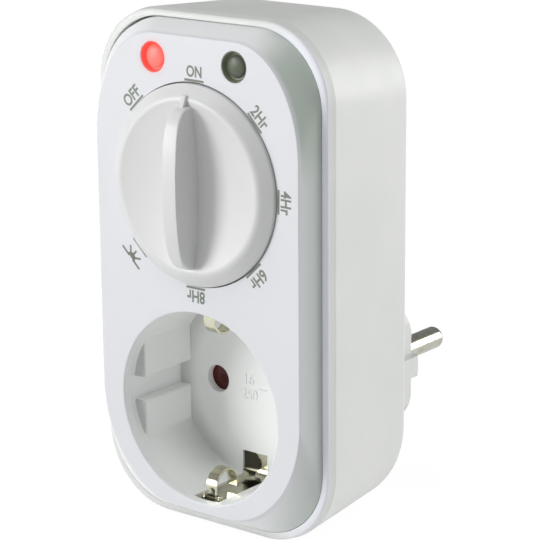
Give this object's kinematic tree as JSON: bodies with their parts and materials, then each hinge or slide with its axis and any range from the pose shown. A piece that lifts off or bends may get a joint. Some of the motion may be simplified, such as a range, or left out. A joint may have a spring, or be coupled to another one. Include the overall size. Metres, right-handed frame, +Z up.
{
  "type": "plug in timer switch",
  "caption": "Plug-in timer switch: rounded white housing with an earthed pin plug behind, a recessed socket in front, a dished rotary selector knob, a red lamp and a light sensor",
  "frame": {"origin": "centre of the plug's end face, midway between the two pins", "axes": "+X to the right seen from the front, +Y out of the plug's face the way the pins point, +Z up; the socket and the knob face -Y"},
  "size_m": [0.0568, 0.0766, 0.1031],
  "materials": {
    "housing_white": "warm white moulded plastic, fine satin grain",
    "panel_white": "cool white moulded plastic, satin",
    "knob_white": "warm white moulded plastic, satin",
    "socket_white": "white moulded plastic, satin",
    "carrier_grey": "dark grey moulded plastic",
    "shutter_red": "dark red moulded plastic",
    "spring_steel": "drawn and stamped steel",
    "earth_nickel": "nickel plated strip",
    "pin_nickel": "bright nickel plate",
    "contact_brass": "stamped brass",
    "screw_steel": "zinc plated steel",
    "board_green": "glass-fibre board with green lacquer",
    "switch_black": "black moulded plastic",
    "spindle_ivory": "ivory moulded plastic",
    "relay_case": "dark blue moulded case",
    "film_yellow": "yellow moulded case",
    "can_sleeve": "dark shrink sleeve",
    "disc_blue": "dipped blue lacquer",
    "chip_black": "moulded black case",
    "diode_black": "black moulded case with a pale band",
    "resistor_tan": "tan lacquer with colour bands",
    "led_red": "red clear resin",
    "sensor_clear": "clear resin",
    "lens_red": "translucent red moulding",
    "lens_smoke": "smoke-tinted translucent moulding"
  },
  "bodies": {
    "case": {"housing": "housing_white", "rear_cover": "housing_white", "front_panel": "panel_white", "socket_cup": "socket_white", "contact_carrier": "carrier_grey", "earth_bracket": "earth_nickel", "live_contact": "contact_brass", "neutral_contact": "contact_brass", "live_pin": "pin_nickel", "neutral_pin": "pin_nickel", "live_bar": "contact_brass", "plug_earth_contacts": "earth_nickel", "switch_body": "switch_black", "detent_spring": "spring_steel", "circuit_board": "board_green", "relay": "relay_case", "dropper_capacitor": "film_yellow", "smoothing_capacitor": "can_sleeve", "varistor": "disc_blue", "control_chip": "chip_black", "diodes": "diode_black", "resistors": "resistor_tan", "indicator_led": "led_red", "light_sensor": "sensor_clear", "indicator_lens": "lens_red", "sensor_lens": "lens_smoke", "cover_screws": "screw_steel", "board_screws": "screw_steel", "carrier_screws": "screw_steel"},
    "selector": {"knob": "knob_white", "switch_spindle": "spindle_ivory", "switch_wiper": "contact_brass"},
    "socket_shutter": {"shutter": "shutter_red", "shutter_spring": "spring_steel"}
  },
  "joints": [
    {"name": "knob_turn", "type": "hinge", "parent": "case", "child": "selector", "pos_m": [0, -0.0496, 0.0449], "axis": [0, 1, 0], "range_deg": [-45, 225]},
    {"name": "shutter_turn", "type": "hinge", "parent": "case", "child": "socket_shutter", "pos_m": [0, -0.0303, 0], "axis": [0, 1, 0], "range_deg": [0, 42], "stiffness_Nm_per_rad": 0.001, "springref_deg": -20.05}
  ]
}
